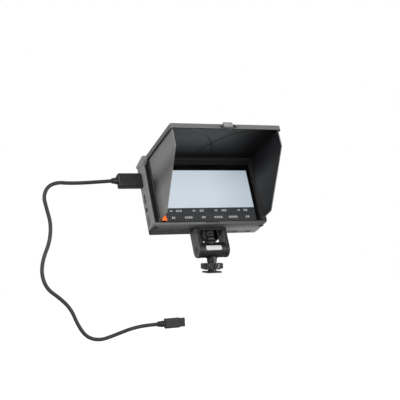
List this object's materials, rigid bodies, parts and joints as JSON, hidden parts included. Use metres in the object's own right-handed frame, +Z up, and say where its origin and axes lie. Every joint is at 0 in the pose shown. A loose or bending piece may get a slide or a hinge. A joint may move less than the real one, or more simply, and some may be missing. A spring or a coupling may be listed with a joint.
{
  "type": "camera field monitor with sun hood",
  "caption": "Small field monitor on a tilting, swivelling shoe mount, with a folding three-sided sun hood, a spring latch, side sockets, a battery plate and a video cable.",
  "frame": {"origin": "centre of the underside of the shoe foot", "axes": "+Z up through the post, +X to the right of the screen, -Y towards the viewer"},
  "size_m": [0.2852, 0.1131, 0.2527],
  "materials": {
    "satin_black": "satin",
    "gloss_black": "gloss",
    "steel": "satin",
    "dark_steel": "satin",
    "brass": "machined",
    "housing": "matte",
    "hood": "matte",
    "glass": "polished",
    "panel": "lit",
    "board": "coated",
    "rubber": "matte",
    "cable": "matte",
    "plug": "matte",
    "contact": "plated",
    "keys": "matte"
  },
  "bodies": {
    "foot": {"shoe_foot": "satin_black", "swivel_screw": "dark_steel"},
    "washer": {"clamp_washer": "steel"},
    "wheel": {"lock_wheel": "gloss_black"},
    "swivel": {"swivel_barrel": "satin_black", "friction_discs": "plug"},
    "monitor": {"yoke": "satin_black", "yoke_pad": "rubber", "tilt_axle": "steel", "axle_caps": "dark_steel", "mount_screw": "satin_black", "thread_insert": "brass", "front_frame": "housing", "rear_cover": "housing", "light_seal": "rubber", "hinge_brackets": "hood", "screen_glass": "glass", "lcd_panel": "panel", "main_board": "board", "hdmi_input_socket": "steel", "mini_output_socket": "steel", "headphone_socket": "plug", "power_socket": "steel", "key_board": "board", "cover_screws": "dark_steel", "battery_plate": "housing", "battery_contacts": "contact", "hinge_cheeks": "hood", "lid_pins": "steel", "wing_pins": "steel", "hdmi_plug": "plug", "hdmi_cable": "cable", "camera_plug": "plug"},
    "lid": {"hood_lid": "hood", "lid_lining": "hood", "latch_pin": "steel"},
    "latch": {"lid_latch": "hood"},
    "left_wing": {"wing_left": "hood"},
    "right_wing": {"wing_right": "hood"},
    "catch": {"battery_catch": "keys"},
    "menu_key_cap": {"menu_key": "keys"},
    "left_key_cap": {"left_key": "keys"},
    "right_key_cap": {"right_key": "keys"},
    "input_key_cap": {"input_key": "keys"},
    "power_key_cap": {"power_key": "keys"}
  },
  "joints": [
    {"name": "washer_lift", "type": "slide", "parent": "foot", "child": "washer", "axis": [0, 0, 1], "range_m": [0, 0.001]},
    {"name": "lock_wheel_turn", "type": "hinge", "parent": "washer", "child": "wheel", "pos_m": [0, 0, 0.0083], "axis": [0, 0, 1], "range_deg": [0, 360]},
    {"name": "swivel_pan", "type": "hinge", "parent": "foot", "child": "swivel", "pos_m": [0, 0, 0.02], "axis": [0, 0, 1], "continuous": true},
    {"name": "monitor_tilt", "type": "hinge", "parent": "swivel", "child": "monitor", "pos_m": [0, 0, 0.0275], "axis": [-1, 0, 0], "range_deg": [-114.6, 65.4]},
    {"name": "lid_fold", "type": "hinge", "parent": "monitor", "child": "lid", "pos_m": [0, 0.02952, 0.13882], "axis": [1, 0, 0], "range_deg": [-20, 0]},
    {"name": "latch_press", "type": "hinge", "parent": "lid", "child": "latch", "pos_m": [0.001, -0.04648, 0.1746], "axis": [1, 0, 0], "range_deg": [-12, 0], "stiffness_Nm_per_rad": 0.05},
    {"name": "left_wing_fold", "type": "hinge", "parent": "monitor", "child": "left_wing", "pos_m": [-0.0686, 0.014, 0.10083], "axis": [0, 0.4163, 0.9092], "range_deg": [0, 90]},
    {"name": "right_wing_fold", "type": "hinge", "parent": "monitor", "child": "right_wing", "pos_m": [0.0686, 0.01245, 0.10154], "axis": [0, -0.4163, -0.9092], "range_deg": [0, 90]},
    {"name": "battery_catch_slide", "type": "slide", "parent": "monitor", "child": "catch", "axis": [0, -0.4163, -0.9092], "range_m": [0, 0.0022], "stiffness_N_per_m": 300},
    {"name": "menu_key_press", "type": "slide", "parent": "monitor", "child": "menu_key_cap", "axis": [0, -0.4163, -0.9092], "range_m": [0, 0.0005], "stiffness_N_per_m": 800},
    {"name": "left_key_press", "type": "slide", "parent": "monitor", "child": "left_key_cap", "axis": [0, -0.4163, -0.9092], "range_m": [0, 0.0005], "stiffness_N_per_m": 800},
    {"name": "right_key_press", "type": "slide", "parent": "monitor", "child": "right_key_cap", "axis": [0, -0.4163, -0.9092], "range_m": [0, 0.0005], "stiffness_N_per_m": 800},
    {"name": "input_key_press", "type": "slide", "parent": "monitor", "child": "input_key_cap", "axis": [0, -0.4163, -0.9092], "range_m": [0, 0.0005], "stiffness_N_per_m": 800},
    {"name": "power_key_press", "type": "slide", "parent": "monitor", "child": "power_key_cap", "axis": [0, -0.4163, -0.9092], "range_m": [0, 0.0005], "stiffness_N_per_m": 800}
  ],
  "couplings": [
    {"joint": "washer_lift", "follows": "lock_wheel_turn", "m_per_rad": 0.00015915}
  ]
}
